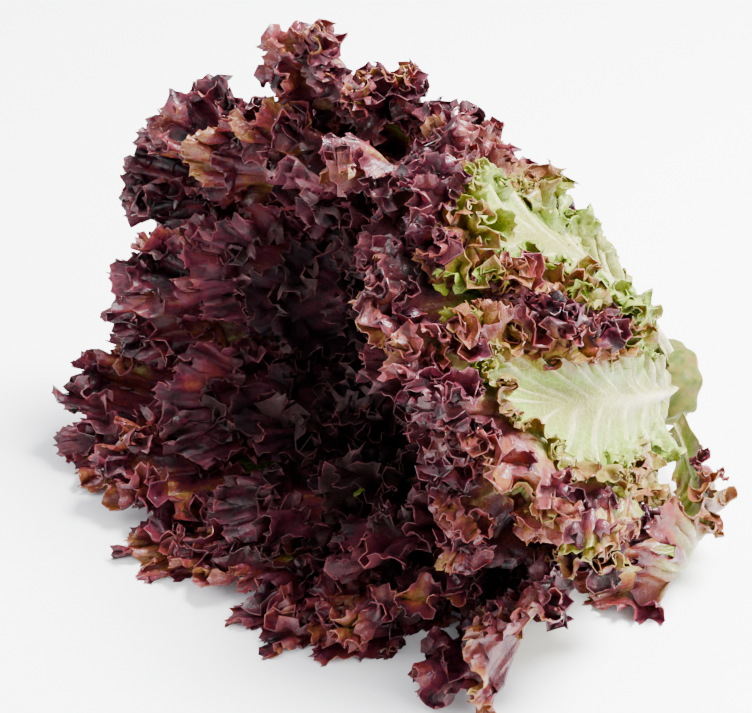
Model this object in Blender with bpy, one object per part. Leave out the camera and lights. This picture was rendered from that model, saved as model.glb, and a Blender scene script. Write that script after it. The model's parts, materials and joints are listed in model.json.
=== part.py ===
"""A cut head of lollo rosso lettuce, lying on its side with its mouth towards -X and -Y.

The head is a rosette: a short butt with rings of frilled leaves round it. Every leaf lies on
one of a family of nested shells, so that leaves never cross. A point of a leaf is found in
three steps: where it is on the flat leaf (across and along), which shell it lies on (depth,
0 outermost and 1 at the heart), and where that shell runs at that bearing round the axis.
A leaf's frill is a wave of its depth, held inside the room between its neighbours' shells.
"""

import math
from dataclasses import dataclass

import bmesh
import bpy
import numpy as np

MM = 0.001

# Where the head's axis starts, which is level with the lowest leaf roots.
HEAD_BASE = np.array((106.6, 68.7, 28.0)) * MM
# The axis points at the mouth: turned from -X towards -Y, and raised above the table.
AXIS_TURN = math.radians(27.0)
AXIS_RISE = math.radians(17.5)

# The butt: a turned stem with a flat cut at its lower end. Pairs of height and radius.
STEM_PROFILE = [
    (-10.0, 0.0),
    (-10.0, 14.2),
    (-8.5, 15.2),
    (0.0, 15.6),
    (6.0, 14.0),
    (20.0, 8.8),
    (33.0, 4.2),
    (38.0, 1.8),
    (38.8, 0.0),
]
STEM_SIDES = 20

# Leaf roots lie on a cone that clears the stem: radius and height at the shells' two ends.
OUTER_ROOT = (15.5, 6.0)
HEART_ROOT = (4.0, 40.0)
# The heart's meridian, as the other three points of its curve: radius and height.
HEART_CURVE = ((6.0, 84.0), (12.0, 136.0), (18.0, 188.0))
# The outermost meridian at stations round the axis, 0 at the top and 90 at the far side:
# bearing in degrees, then the other three points of its curve as radius and height.
OUTER_STATIONS = [
    (10.0, (38.0, 30.0), (80.0, 88.0), (92.0, 156.0)),
    (42.0, (40.0, 32.0), (84.0, 98.0), (114.0, 170.0)),
    (75.0, (42.0, 34.0), (84.0, 110.0), (120.0, 186.0)),
    (105.0, (42.0, 34.0), (84.0, 112.0), (114.0, 198.0)),
    (138.0, (48.0, 22.0), (92.0, 100.0), (112.0, 204.0)),
    (167.0, (46.0, 19.0), (84.0, 92.0), (98.0, 200.0)),
    (196.0, (44.0, 18.0), (80.0, 88.0), (98.0, 188.0)),
    (220.0, (42.0, 18.0), (82.0, 82.0), (116.0, 172.0)),
    (242.0, (40.0, 18.0), (96.0, 72.0), (142.0, 142.0)),
    (268.0, (42.0, 22.0), (96.0, 80.0), (116.0, 150.0)),
    (300.0, (42.0, 26.0), (94.0, 96.0), (74.0, 178.0)),
    (335.0, (40.0, 30.0), (84.0, 94.0), (78.0, 160.0)),
]
# How sharply the stations are told apart: a higher grip follows each one more closely.
STATION_GRIP = 24.0

# Leaf thickness: the blade, and the rib where it leaves the stem.
BLADE_THICKNESS = 0.9 * MM
RIB_WIDTH = 0.12
RIB_FADE = 0.85

# The flat leaf's outline: half its breadth along the rib, then a blunt rounded end.
BREADTH_ALONG = (0.0, 0.1, 0.3, 0.5, 0.74)
BREADTH_HALF = (0.8, 0.62, 0.78, 0.94, 1.0)
CAP_START = 0.74
CAP_POWER = 0.75
OUTLINE_POINTS = 80
RIB_REACH = 0.7
# The flat leaf's rough real size, which spaces the columns evenly along the margin.
NOMINAL_LENGTH = 185.0
NOMINAL_RADII = (15.0, 95.0)
PLAIN_MARGIN_WEIGHT = 0.3

# The frill: where it starts between rib and margin, and along the leaf.
FRILL_START = 0.34
FRILL_GROWTH = 1.1
FRILL_ALONG = (0.18, 0.5)
FRILL_DRAW_BACK = 0.04
FRILL_SWAY = 0.01
# How unevenly the waves are spaced, as pairs of count and size in radians, and how high.
UNEVEN_SPACING = ((2.0, 0.5), (5.0, 0.35))
UNEVEN_HEIGHT = 0.25
HEIGHT_WAVES = 3.5
# The slow swell of the whole blade under its frill, as a share of the frill.
SWELL_WAVES = 2.5
SWELL_SHARE = 0.35
SWELL_GROWTH = 1.5

# Rows from rib to margin: place, and the share of the margin's columns that the row has.
ROWS = [(0.0, 4), (0.16, 4), (0.46, 2), (0.73, 1), (1.0, 1)]

# The table: how softly leaves flatten on it, and how low an underside lies fully flat.
TABLE_SOFTNESS = 4.0 * MM
PRESSED_BELOW = 0.7 * MM


@dataclass
class Ring:
    """What the leaves of one ring share.

    Depth says which shell they lie on. Reach is their length as a share of the shell's. Frill
    and flare are how far their margins wave and lean out, in depths. Columns are the steps
    along the margin, and rib is the rib's thickness at the root in millimetres.
    """

    depth: float
    reach: float
    frill: float
    flare: float
    columns: int
    rib: float
    colour: tuple


@dataclass
class Leaf:
    """One leaf: its ring, its bearing and half its breadth in degrees, and its frill's waves.

    Bend moves the four points of its own meridian: pairs of radius and height.
    """

    name: str
    ring: Ring
    bearing: float
    half_angle: float
    waves: float
    bend: tuple = ((0.0, 0.0), (0.0, 0.0), (0.0, 0.0), (0.0, 0.0))


RED = (0.24, 0.045, 0.07)
DARK_RED = (0.17, 0.03, 0.055)
BRONZE = (0.33, 0.17, 0.05)
GREEN = (0.4, 0.42, 0.1)

SPREAD = Ring(0.0, 1.0, frill=0.09, flare=0.0, columns=64, rib=4.0, colour=GREEN)
OUTER = Ring(0.0, 1.0, frill=0.13, flare=0.075, columns=64, rib=5.0, colour=RED)
OUTER_SHOWN_BACK = Ring(0.0, 1.0, frill=0.13, flare=0.075, columns=64, rib=5.0, colour=BRONZE)
OUTER_UNDER = Ring(0.0, 1.0, frill=0.11, flare=0.05, columns=56, rib=4.2, colour=RED)
SECOND = Ring(0.21, 1.0, frill=0.07, flare=0.0, columns=48, rib=4.2, colour=RED)
SECOND_UNDER = Ring(0.21, 1.0, frill=0.06, flare=0.0, columns=40, rib=3.6, colour=RED)
THIRD = Ring(0.42, 0.95, frill=0.07, flare=0.0, columns=40, rib=3.6, colour=DARK_RED)
FOURTH = Ring(0.62, 0.86, frill=0.07, flare=0.0, columns=32, rib=3.0, colour=DARK_RED)
HEART = Ring(0.82, 0.72, frill=0.065, flare=0.0, columns=24, rib=2.2, colour=RED)

LEAVES = [
    Leaf("leaf_outer_top", OUTER, 31.0, 17.5, 10),
    Leaf("leaf_outer_far_high", OUTER, 73.0, 23.0, 12),
    Leaf("leaf_outer_far_low", OUTER, 129.5, 22.5, 12),
    Leaf("leaf_outer_under_far", OUTER_UNDER, 172.5, 16.5, 10),
    Leaf("leaf_outer_under_near", OUTER_UNDER, 208.5, 16.5, 10),
    Leaf("leaf_outer_near_low", OUTER_UNDER, 243.5, 16.5, 10),
    Leaf("leaf_outer_near", OUTER_SHOWN_BACK, 287.0, 23.0, 12),
    Leaf("leaf_outer_crown", OUTER_SHOWN_BACK, 336.0, 24.0, 12),
    Leaf(
        "leaf_spread", SPREAD, 245.0, 22.0, 11,
        bend=((5.4, -5.0), (5.0, -18.0), (-4.0, -62.0), (-28.0, -82.0)),
    ),
    Leaf("leaf_second_top", SECOND, 7.0, 21.0, 9),
    Leaf("leaf_second_far_high", SECOND, 52.0, 22.0, 9),
    Leaf("leaf_second_far", SECOND, 99.0, 23.0, 10),
    Leaf("leaf_second_far_low", SECOND_UNDER, 146.0, 22.0, 9),
    Leaf("leaf_second_under", SECOND_UNDER, 189.0, 19.0, 8),
    Leaf("leaf_second_near_low", SECOND_UNDER, 228.0, 18.0, 8),
    Leaf("leaf_second_near", SECOND, 268.0, 20.0, 9),
    Leaf("leaf_second_crown", SECOND, 317.0, 26.5, 10),
    Leaf("leaf_third_top", THIRD, 30.0, 24.3, 9),
    Leaf("leaf_third_far_high", THIRD, 81.0, 24.3, 9),
    Leaf("leaf_third_far_low", THIRD, 132.0, 24.3, 9),
    Leaf("leaf_third_under_far", THIRD, 184.0, 24.3, 9),
    Leaf("leaf_third_under_near", THIRD, 235.0, 24.3, 9),
    Leaf("leaf_third_near", THIRD, 287.0, 24.3, 9),
    Leaf("leaf_third_crown", THIRD, 338.0, 24.3, 9),
    Leaf("leaf_fourth_top", FOURTH, 5.0, 34.0, 7),
    Leaf("leaf_fourth_far_high", FOURTH, 77.0, 34.0, 7),
    Leaf("leaf_fourth_far_low", FOURTH, 149.0, 34.0, 7),
    Leaf("leaf_fourth_under", FOURTH, 221.0, 34.0, 7),
    Leaf("leaf_fourth_near", FOURTH, 293.0, 34.0, 7),
    Leaf("leaf_heart_far", HEART, 45.0, 56.0, 5),
    Leaf("leaf_heart_under", HEART, 165.0, 56.0, 5),
    Leaf("leaf_heart_near", HEART, 285.0, 56.0, 5),
]


def head_frame():
    """Unit vectors of the head: along its axis, square to that upwards, and to the far side."""
    axis = np.array(
        (
            -math.cos(AXIS_RISE) * math.cos(AXIS_TURN),
            -math.cos(AXIS_RISE) * math.sin(AXIS_TURN),
            math.sin(AXIS_RISE),
        )
    )
    up = np.array((0.0, 0.0, 1.0)) - axis[2] * axis
    up /= np.linalg.norm(up)
    return axis, up, np.cross(axis, up)


AXIS, UP, SIDE = head_frame()


def smooth_step(low, high, value):
    """0 below low, 1 above high, and a smooth rise between."""
    share = np.clip((value - low) / (high - low), 0.0, 1.0)
    return share * share * (3.0 - 2.0 * share)


def outer_curves(angle):
    """The outermost meridian's four points at each angle, blended between the stations."""
    bearings = np.radians([station[0] for station in OUTER_STATIONS])
    points = np.array([(OUTER_ROOT, *station[1:]) for station in OUTER_STATIONS])
    weight = np.exp(STATION_GRIP * (np.cos(angle[..., None] - bearings) - 1.0))
    weight /= weight.sum(axis=-1, keepdims=True)
    return np.einsum("...k,kcd->...cd", weight, points)


def shell_points(depth, angle, along, bend):
    """Points in metres on the nested shells, before the head settles on the table."""
    heart = np.array((HEART_ROOT, *HEART_CURVE))
    curve = outer_curves(angle)
    curve = curve + (heart - curve) * depth[..., None, None]
    curve = curve + np.array(bend)
    rest = 1.0 - along
    weights = np.stack(
        (rest**3, 3 * rest**2 * along, 3 * rest * along**2, along**3), axis=-1
    )
    radius, height = np.moveaxis(np.einsum("...c,...cd->...d", weights, curve) * MM, -1, 0)
    return (
        HEAD_BASE
        + height[..., None] * AXIS
        + (radius * np.cos(angle))[..., None] * UP
        + (radius * np.sin(angle))[..., None] * SIDE
    )


def square_shift(leaf, angle, along):
    """How far along a point slides for each unit of depth, to move squarely off the blade."""
    step = 0.01
    depth = np.full_like(angle, leaf.ring.depth)
    here = shell_points(depth, angle, along, leaf.bend)
    deeper = shell_points(depth + step, angle, along, leaf.bend) - here
    further = shell_points(depth, angle, along + step, leaf.bend) - here
    return -(deeper * further).sum(axis=-1) / (further**2).sum(axis=-1)


def settled(points):
    """The points after the lowest leaves have flattened softly against the table at z = 0."""
    flat = points.copy()
    flat[..., 2] = TABLE_SOFTNESS * np.logaddexp(0.0, points[..., 2] / TABLE_SOFTNESS)
    flat[..., 2] += BLADE_THICKNESS / 2
    return flat


def half_outline():
    """One side of the flat leaf's margin from root to tip, as closely spaced points."""
    side_along = np.linspace(0.0, CAP_START, OUTLINE_POINTS, endpoint=False)
    side_across = np.interp(side_along, BREADTH_ALONG, BREADTH_HALF)
    turn = np.linspace(0.0, math.pi / 2, OUTLINE_POINTS)
    cap_along = CAP_START + (1.0 - CAP_START) * np.sin(turn) ** CAP_POWER
    cap_across = np.cos(turn).clip(0.0) ** CAP_POWER
    return (
        np.concatenate((side_across, cap_across)),
        np.concatenate((side_along, cap_along)),
    )


def margin(leaf):
    """The whole margin with one point a column: across, along and the distance travelled."""
    across, along = half_outline()
    across = np.concatenate((-across, across[-2::-1]))
    along = np.concatenate((along, along[-2::-1]))
    radius = np.interp(along, (0.0, 1.0), NOMINAL_RADII)
    width = across * radius * math.radians(leaf.half_angle)
    step = np.hypot(np.diff(width), np.diff(along) * NOMINAL_LENGTH)
    middle = (along[1:] + along[:-1]) / 2
    plain = 1.0 - smooth_step(*FRILL_ALONG, middle)
    step *= 1.0 - plain * (1.0 - PLAIN_MARGIN_WEIGHT)
    travelled = np.concatenate(([0.0], np.cumsum(step)))
    travelled /= travelled[-1]
    columns = np.linspace(0.0, 1.0, leaf.ring.columns + 1)
    return (
        np.interp(columns, travelled, across),
        np.interp(columns, travelled, along),
        columns,
    )


def waves(leaf, columns):
    """The frill and the slow swell along the margin, each from about -1 to 1, and the phase."""
    draw = np.random.default_rng(LEAVES.index(leaf))
    turn = 2 * math.pi
    starts = draw.uniform(0.0, turn, 5)
    phase = turn * leaf.waves * columns + starts[0]
    for (count, size), start in zip(UNEVEN_SPACING, starts[1:]):
        phase = phase + size * np.sin(turn * count * columns + start)
    height = 1.0 - UNEVEN_HEIGHT * (0.5 + 0.5 * np.sin(turn * HEIGHT_WAVES * columns + starts[3]))
    swell = np.sin(turn * SWELL_WAVES * columns + starts[4])
    return height * np.sin(phase), swell, phase


def blade_row(leaf, row, place, share):
    """The points of one row of the leaf's middle surface, a set place from rib to margin."""
    ring = leaf.ring
    margin_across, margin_along, columns = (values[::share] for values in row)
    rib_along = RIB_REACH * margin_along
    across = place * margin_across
    along = rib_along + place * (margin_along - rib_along)
    leafy = smooth_step(*FRILL_ALONG, margin_along)
    growth = np.clip((place - FRILL_START) / (1.0 - FRILL_START), 0.0, 1.0) ** FRILL_GROWTH
    strength = growth * leafy
    wave, swell, phase = waves(leaf, columns)
    offset = strength * (ring.frill * wave - ring.flare)
    offset = offset + SWELL_SHARE * ring.frill * swell * leafy * place**SWELL_GROWTH
    tangent_across = np.gradient(margin_across)
    tangent_along = np.gradient(margin_along)
    sway = FRILL_SWAY * strength * np.sin(2 * phase) / np.hypot(tangent_across, tangent_along)
    clear_of_sides = smooth_step(1.0, 0.75, np.abs(margin_across))
    across = across + sway * tangent_across * clear_of_sides
    along = along + sway * tangent_along - FRILL_DRAW_BACK * strength * wave**2
    along = along * ring.reach
    angle = math.radians(leaf.bearing) + math.radians(leaf.half_angle) * across
    along = along + offset * square_shift(leaf, angle, along)
    return settled(shell_points(ring.depth + offset, angle, along, leaf.bend))


def strip(inner, outer):
    """Triangles between two rows of point numbers, where the outer may have twice as many."""
    triangles = []
    if len(outer) == len(inner):
        for a, b, c, d in zip(inner, inner[1:], outer[1:], outer):
            triangles += [(a, b, c), (a, c, d)]
    else:
        for i, (a, b) in enumerate(zip(inner, inner[1:])):
            first, second, third = outer[2 * i : 2 * i + 3]
            triangles += [(a, second, first), (a, b, second), (b, third, second)]
    return [t for t in triangles if len(set(t)) == 3]


def middle_surface(leaf):
    """The leaf with no thickness: points, triangles, rib share of each point, and its border."""
    row_of_margin = margin(leaf)
    points, ribs, rows = [], [], []
    for place, share in ROWS:
        made = blade_row(leaf, row_of_margin, place, share)
        along = row_of_margin[1][::share]
        count = len(made)
        if place == 0.0:
            # The two halves of the blade meet on the rib and share its points.
            kept = count // 2 + 1
            rows.append([min(i, count - 1 - i) for i in range(count)])
        else:
            kept = count
            rows.append([len(points) + i for i in range(count)])
        points += list(made[:kept])
        rib = math.exp(-((place / RIB_WIDTH) ** 2)) * (1.0 - RIB_FADE * along)
        ribs += list(rib[:kept])
    triangles = [t for inner, outer in zip(rows, rows[1:]) for t in strip(inner, outer)]
    border = rows[-1] + [row[-1] for row in rows[-2::-1]] + [row[0] for row in rows[1:-1]]
    return points, triangles, ribs, border


def leaf_mesh(leaf):
    """The solid leaf: its middle surface given thickness on both sides, with a plain rim."""
    points, triangles, ribs, border = middle_surface(leaf)
    sheet = bmesh.new()
    vertices = [sheet.verts.new(point) for point in points]
    for triangle in triangles:
        sheet.faces.new([vertices[i] for i in triangle])
    sheet.normal_update()
    added = leaf.ring.rib * MM - BLADE_THICKNESS
    thickness = [BLADE_THICKNESS + share * added for share in ribs]
    outside = [v.co + v.normal * t / 2 for v, t in zip(vertices, thickness)]
    inside = [v.co - v.normal * t / 2 for v, t in zip(vertices, thickness)]
    sheet.free()
    for pair in zip(outside, inside):
        lower = min(pair, key=lambda corner: corner.z)
        if lower.z < PRESSED_BELOW:
            lower.z = 0.0
    count = len(points)
    faces = list(triangles) + [(c + count, b + count, a + count) for a, b, c in triangles]
    for here, there in zip(border, border[1:] + border[:1]):
        faces += [(here, there, there + count), (here, there + count, here + count)]
    mesh = bpy.data.meshes.new(leaf.name)
    mesh.from_pydata([tuple(p) for p in outside + inside], [], faces)
    return mesh


def stem_mesh():
    """The butt, turned about the head's axis."""
    turned = bmesh.new()
    profile = []
    for height, radius in STEM_PROFILE:
        place = HEAD_BASE + (height * AXIS + radius * UP) * MM
        profile.append(turned.verts.new(place))
    edges = [turned.edges.new(pair) for pair in zip(profile, profile[1:])]
    bmesh.ops.spin(
        turned,
        geom=profile + edges,
        cent=HEAD_BASE,
        axis=AXIS,
        angle=2 * math.pi,
        steps=STEM_SIDES,
        use_duplicate=False,
    )
    bmesh.ops.remove_doubles(turned, verts=turned.verts, dist=0.01 * MM)
    bmesh.ops.recalc_face_normals(turned, faces=turned.faces)
    mesh = bpy.data.meshes.new("stem")
    turned.to_mesh(mesh)
    turned.free()
    return mesh


def material(name, colour, roughness):
    """A plain material with the part's own colour and roughness."""
    made = bpy.data.materials.new(name)
    made.use_nodes = True
    shader = made.node_tree.nodes["Principled BSDF"]
    shader.inputs["Base Color"].default_value = (*colour, 1.0)
    shader.inputs["Roughness"].default_value = roughness
    shader.inputs["Metallic"].default_value = 0.0
    return made


def add_part(mesh, finish):
    """Places a mesh in the scene as one named object, shaded smooth."""
    part = bpy.data.objects.new(mesh.name, mesh)
    mesh.materials.append(finish)
    mesh.shade_smooth()
    bpy.context.scene.collection.objects.link(part)
    return part


def main():
    for old in list(bpy.data.objects):
        bpy.data.objects.remove(old)
    add_part(stem_mesh(), material("stem", (0.72, 0.7, 0.5), 0.5))
    for leaf in LEAVES:
        add_part(leaf_mesh(leaf), material(leaf.name, leaf.ring.colour, 0.45))


main()
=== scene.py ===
"""Dresses a cut head of lollo rosso lettuce: its finely frilled leaves, butt, light and floor.

Each leaf keeps the form of its solid in the frame: the same nested shells, outline and slow
frill. On that form lie ever finer curls towards the margin, then scallops between pointed
teeth, and folds with curled edges of their own stand up from it. Colour, veins and a pale
painted highlight along the rim follow values that the leaf's mesh carries; the inner leaves
are painted near-black as the shade of the hollow.
"""

import json
import logging
import math
from collections.abc import Callable
from dataclasses import dataclass
from enum import Enum

import bpy
import numpy as np
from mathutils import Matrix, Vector

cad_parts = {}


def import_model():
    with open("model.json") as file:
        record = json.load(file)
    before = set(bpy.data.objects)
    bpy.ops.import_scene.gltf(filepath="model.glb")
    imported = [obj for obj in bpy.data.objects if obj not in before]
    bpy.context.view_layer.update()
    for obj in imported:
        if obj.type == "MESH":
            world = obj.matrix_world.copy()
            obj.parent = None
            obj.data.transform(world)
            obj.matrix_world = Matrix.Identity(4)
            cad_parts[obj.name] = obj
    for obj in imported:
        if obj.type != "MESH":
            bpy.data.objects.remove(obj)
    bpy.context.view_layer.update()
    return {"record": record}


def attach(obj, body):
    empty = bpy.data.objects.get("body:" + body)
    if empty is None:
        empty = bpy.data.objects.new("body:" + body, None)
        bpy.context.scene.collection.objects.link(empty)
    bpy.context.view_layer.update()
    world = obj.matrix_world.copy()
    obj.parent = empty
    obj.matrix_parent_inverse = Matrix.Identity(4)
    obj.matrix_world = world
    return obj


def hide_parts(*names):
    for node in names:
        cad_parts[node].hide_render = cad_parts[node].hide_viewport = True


log = logging.getLogger("lettuce")

Array = np.ndarray
Pair = tuple[float, float]
Triple = tuple[float, float, float]
Quad = tuple[float, float, float, float]

MM = 0.001
TURN = 2.0 * math.pi


def smooth_step(low: float, high: float, value: Array) -> Array:
    """A smooth rise between two values.

    Args:
        low: Where the rise starts.
        high: Where the rise ends; it may be below low, which turns the rise into a fall.
        value: The values to look up.

    Returns:
        0 before low, 1 past high.
    """
    share = np.clip((value - low) / (high - low), 0.0, 1.0)
    return share * share * (3.0 - 2.0 * share)


def unit(vectors: Array) -> Array:
    """The vectors at length 1, where they have any length."""
    return vectors / np.maximum(np.linalg.norm(vectors, axis=-1, keepdims=True), 1e-12)


def drift(draw: np.random.Generator, knots: int, places: Array) -> Array:
    """Smooth random values along a line.

    Args:
        draw: The seeded source of random numbers.
        knots: How many random values the line has.
        places: Where to read it, 0 to 1.

    Returns:
        Values from -1 to 1.
    """
    values = draw.uniform(-1.0, 1.0, knots + 2)
    spot = places * knots
    first = np.clip(np.floor(spot).astype(int), 0, knots)
    share = smooth_step(0.0, 1.0, spot - first)
    return values[first] * (1.0 - share) + values[first + 1] * share


def drift_sheet(
    draw: np.random.Generator, knots: tuple[int, int], down: Array, across: Array
) -> Array:
    """Smooth random values over a sheet.

    Args:
        draw: The seeded source of random numbers.
        knots: How many random values the sheet has down and across.
        down: Where to read it from row to row, 0 to 1.
        across: Where to read it along a row, 0 to 1.

    Returns:
        Values from -1 to 1, one row for each place down.
    """
    lines = np.array([drift(draw, knots[1], across) for _ in range(knots[0] + 2)])
    spot = down * knots[0]
    first = np.clip(np.floor(spot).astype(int), 0, knots[0])
    share = smooth_step(0.0, 1.0, spot - first)[:, None]
    return lines[first] * (1.0 - share) + lines[first + 1] * share


def local_frame(points: Array, place: Array) -> tuple[Array, ...]:
    """Directions on a blade.

    Args:
        points: The blade's points by row and column.
        place: The rows' places from rib to margin.

    Returns:
        Unit vectors along the margin, out of the leaf and square to its blade.
    """
    tangent = unit(np.gradient(points, axis=1))
    outward = np.gradient(points, place, axis=0)
    normal = unit(np.cross(tangent, outward))
    return tangent, np.cross(normal, tangent), normal


@dataclass(frozen=True)
class Shells:
    """The nested shells that the leaves lie on, as the frame's solids have them.

    Depth 0 is the outermost shell and 1 the heart. Lengths are millimetres, angles degrees.
    """

    base: Triple = (106.6, 68.7, 28.0)
    turn: float = 27.0
    rise: float = 17.5
    outer_root: Pair = (15.5, 6.0)
    heart: tuple[Pair, ...] = ((4.0, 40.0), (6.0, 84.0), (12.0, 136.0), (18.0, 188.0))
    stations: tuple[tuple, ...] = (
        (10.0, (38.0, 30.0), (80.0, 88.0), (92.0, 156.0)),
        (42.0, (40.0, 32.0), (84.0, 98.0), (114.0, 170.0)),
        (75.0, (42.0, 34.0), (84.0, 110.0), (120.0, 186.0)),
        (105.0, (42.0, 34.0), (84.0, 112.0), (114.0, 198.0)),
        (138.0, (48.0, 22.0), (92.0, 100.0), (112.0, 204.0)),
        (167.0, (46.0, 19.0), (84.0, 92.0), (98.0, 200.0)),
        (196.0, (44.0, 18.0), (80.0, 88.0), (98.0, 188.0)),
        (220.0, (42.0, 18.0), (82.0, 82.0), (116.0, 172.0)),
        (242.0, (40.0, 18.0), (96.0, 72.0), (142.0, 142.0)),
        (268.0, (42.0, 22.0), (96.0, 80.0), (116.0, 150.0)),
        (300.0, (42.0, 26.0), (94.0, 96.0), (74.0, 178.0)),
        (335.0, (40.0, 30.0), (84.0, 94.0), (78.0, 160.0)),
    )
    grip: float = 24.0
    table_softness: float = 4.0
    blade: float = 0.9

    def directions(self) -> tuple[Array, Array, Array]:
        """Unit vectors along the head's axis, square to it upwards, and to the far side."""
        turn, rise = math.radians(self.turn), math.radians(self.rise)
        level = math.cos(rise)
        axis = np.array((-level * math.cos(turn), -level * math.sin(turn), math.sin(rise)))
        up = unit(np.array((0.0, 0.0, 1.0)) - axis[2] * axis)
        return axis, up, np.cross(axis, up)

    def curves(self, depth: Array, angle: Array, bend: tuple) -> Array:
        """The four points of the meridian at each place.

        Args:
            depth: Which shell, 0 to 1.
            angle: The bearing round the axis in radians.
            bend: What the leaf adds to the four points.

        Returns:
            Pairs of radius and height in millimetres.
        """
        bearings = np.radians([station[0] for station in self.stations])
        points = np.array([(self.outer_root, *station[1:]) for station in self.stations])
        weight = np.exp(self.grip * (np.cos(angle[..., None] - bearings) - 1.0))
        weight /= weight.sum(axis=-1, keepdims=True)
        outer = np.einsum("...k,kcd->...cd", weight, points)
        return outer + (np.array(self.heart) - outer) * depth[..., None, None] + np.array(bend)

    def points(
        self, depth: Array, angle: Array, along: Array, bend: tuple
    ) -> Array:
        """Places on the shells before the head settles on the table.

        Args:
            depth: Which shell, 0 to 1.
            angle: The bearing round the axis in radians.
            along: How far along the meridian, 0 at the root.
            bend: What the leaf adds to the meridian's four points.

        Returns:
            Points in metres.
        """
        axis, up, side = self.directions()
        rest = 1.0 - along
        weights = np.stack(
            (rest**3, 3 * rest**2 * along, 3 * rest * along**2, along**3), axis=-1
        )
        curve = np.einsum("...c,...cd->...d", weights, self.curves(depth, angle, bend))
        radius, height = np.moveaxis(curve, -1, 0)
        outwards = np.cos(angle)[..., None] * up + np.sin(angle)[..., None] * side
        return (np.array(self.base) + height[..., None] * axis + radius[..., None] * outwards) * MM

    def square_shift(
        self, depth: float, angle: Array, along: Array, bend: tuple
    ) -> Array:
        """How far along a point slides for each unit of depth, to move squarely off a blade."""
        step = 0.01
        level = np.full_like(angle, depth)
        here = self.points(level, angle, along, bend)
        deeper = self.points(level + step, angle, along, bend) - here
        further = self.points(level, angle, along + step, bend) - here
        return -(deeper * further).sum(axis=-1) / (further**2).sum(axis=-1)

    def settled(self, points: Array) -> Array:
        """The points after the lowest leaves have flattened softly against the table."""
        soft = self.table_softness * MM
        flat = points.copy()
        flat[..., 2] = soft * np.logaddexp(0.0, points[..., 2] / soft) + self.blade * MM / 2
        return flat


@dataclass(frozen=True)
class Curl:
    """One size of curl along a leaf's margin, in millimetres.

    Length is from one curl to the next, height how far it swings squarely off the blade, and
    reach how far from the margin it begins. Loop is how far it overhangs itself: 1 is upright.
    """

    length: float
    height: float
    reach: float
    loop: float


@dataclass(frozen=True)
class Edge:
    """The margin itself: scallops between pointed teeth, and deeper notches between lobes.

    Scallop is the least and most distance between two teeth, tooth and cup are how far it draws
    back and bulges, all in millimetres. Lobes is how many deep notches there are, and notch
    their depth as a share of the leaf's breadth.
    """

    scallop: Pair
    tooth: float
    cup: float
    lobes: int
    notch: float


class Ruffle(Enum):
    """How a leaf's margin is curled."""

    DENSE = (
        (Curl(17.0, 4.6, 28.0, 0.95), Curl(8.0, 1.7, 10.0, 0.8)),
        Edge((3.4, 6.4), 1.6, 1.0, 22, 0.12),
    )
    HIDDEN = (
        (Curl(14.0, 4.2, 26.0, 0.95), Curl(9.0, 2.0, 13.0, 0.8)),
        Edge((3.8, 6.6), 1.8, 1.2, 22, 0.14),
    )
    LOOSE = (
        (Curl(28.0, 3.6, 30.0, 0.5), Curl(12.0, 1.4, 12.0, 0.4)),
        Edge((5.0, 10.0), 3.4, 1.1, 9, 0.38),
    )


@dataclass(frozen=True)
class Fold:
    """A pleat of the blade that stands up from it with a curled edge of its own.

    Place is where it stands between rib and margin, height and lean are how far it rises in
    millimetres and how far it leans towards the margin in degrees. Side is 1 on the leaf's
    back and -1 on its face.
    """

    place: float
    height: float
    lean: float
    side: float
    along: Pair = (0.3, 0.5)
    wander: float = 0.07
    ends: float = 0.04


INNER_FOLDS = (Fold(0.48, 15.0, 35.0, -1.0), Fold(0.8, 12.0, 40.0, -1.0, wander=0.05))
OUTER_FOLDS = (
    Fold(0.5, 14.0, 45.0, 1.0, (0.55, 0.78)),
    Fold(0.72, 12.0, 40.0, 1.0, (0.42, 0.62)),
    Fold(0.9, 9.0, 50.0, 1.0, (0.35, 0.5), wander=0.04),
)
SHORT_FOLDS = (Fold(0.48, 15.0, 35.0, -1.0, (0.5, 0.7)),)
DEEP_FOLDS = (Fold(0.62, 14.0, 35.0, -1.0),)


@dataclass(frozen=True)
class Ring:
    """What the leaves of one ring share: see the frame's solids, and the finer mesh's columns
    and folds."""

    depth: float
    reach: float
    frill: float
    flare: float
    rib: float
    columns: int
    folds: tuple[Fold, ...]


@dataclass(frozen=True)
class Blush:
    """How red a leaf is: its usual deepest, where it begins between rib and margin and along the
    leaf, how patchy it is, and the most that any spot has."""

    depth: float
    place: Pair
    along: Pair
    patches: float
    limit: float = 0.9


class Colouring(Enum):
    """The leaves' kinds of colouring."""

    BURGUNDY = Blush(0.82, (0.06, 0.5), (0.1, 0.42), 0.25)
    # Near-black: not the leaves' own colour but painted shade of the deep hollow that they sit in.
    DARK = Blush(1.0, (0.0, 0.35), (0.0, 0.25), 0.06, 1.0)
    # Deep plum red: partly the leaves' own colour, partly pushed darker as painted shade of the
    # hollow.
    PLUM = Blush(0.9, (0.02, 0.42), (0.0, 0.3), 0.12, 0.94)
    BRONZE = Blush(0.76, (0.24, 0.95), (0.5, 0.86), 0.5)
    RUSTY = Blush(0.86, (0.1, 0.55), (0.22, 0.5), 0.3)
    OLIVE = Blush(0.68, (0.08, 0.85), (0.3, 0.72), 0.5)
    GREEN = Blush(0.68, (-0.2, 0.85), (0.0, 0.4), 0.25)


STRAIGHT = ((0.0, 0.0), (0.0, 0.0), (0.0, 0.0), (0.0, 0.0))


@dataclass(frozen=True)
class LeafPlan:
    """One leaf: where it sits, how it is curled and how it is coloured.

    Bearing and half breadth are degrees round the axis, waves how many slow frills it has, and
    bend moves its meridian's four points.
    """

    name: str
    ring: Ring
    bearing: float
    half_angle: float
    waves: float
    colouring: Colouring
    ruffle: Ruffle = Ruffle.DENSE
    bend: tuple = STRAIGHT


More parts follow.
